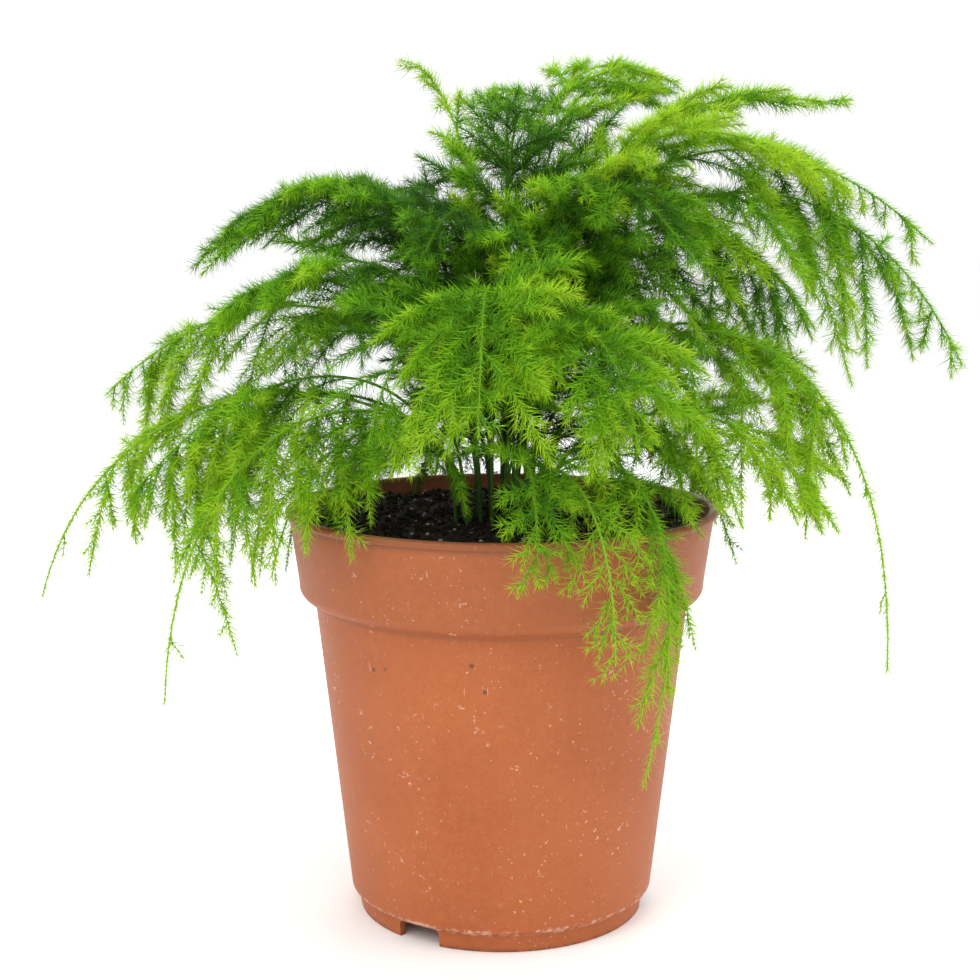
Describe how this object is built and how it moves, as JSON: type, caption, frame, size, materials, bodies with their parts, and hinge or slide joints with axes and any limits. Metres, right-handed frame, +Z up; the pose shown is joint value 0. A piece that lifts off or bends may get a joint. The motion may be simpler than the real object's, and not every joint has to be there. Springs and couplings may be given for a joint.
{
  "type": "potted lace fern",
  "caption": "Potted lace fern: wiry arching fronds of fine needles standing in soil, in a round tapered terracotta-coloured plastic grower's pot with a collar and a notched foot.",
  "frame": {"origin": "on the ground under the pot's axis, which is at the middle of the plant's box", "axes": "+Z up, the plant's front faces -Y, +X is the front's right"},
  "size_m": [0.2473, 0.172, 0.2398],
  "materials": {
    "terracotta_plastic": "matte, finely mottled and lightly scuffed",
    "potting_soil": "loose, dark and damp",
    "fern_green": "soft living green"
  },
  "bodies": {
    "root": {"pot": "terracotta_plastic", "soil": "potting_soil", "frond_new_shoot": "fern_green", "frond_centre_tuft": "fern_green", "frond_top_right_far": "fern_green", "frond_top_right_near": "fern_green", "frond_right_lime": "fern_green", "frond_right_arch_high": "fern_green", "frond_right_arch_long": "fern_green", "frond_upper_left_dark": "fern_green", "frond_upper_left_top": "fern_green", "frond_upper_left_low": "fern_green", "frond_left_mid": "fern_green", "frond_left_bare_stem": "fern_green", "frond_left_long": "fern_green", "frond_left_hang": "fern_green", "frond_left_front": "fern_green", "frond_front_left": "fern_green", "frond_front_centre": "fern_green", "frond_front_right": "fern_green", "frond_front_hang": "fern_green", "frond_rim_right": "fern_green", "frond_rim_right_long": "fern_green", "frond_right_low": "fern_green", "frond_right_hang_long": "fern_green", "frond_right_hang": "fern_green", "frond_star_high": "fern_green", "frond_star_mid": "fern_green", "frond_star_left": "fern_green", "frond_star_right": "fern_green", "frond_star_top": "fern_green", "frond_back_right": "fern_green", "frond_back_right_low": "fern_green", "frond_back_high": "fern_green", "frond_back_mid": "fern_green", "frond_back_hang": "fern_green", "frond_back_left_high": "fern_green", "frond_back_left": "fern_green", "frond_back_left_low": "fern_green"}
  },
  "joints": []
}
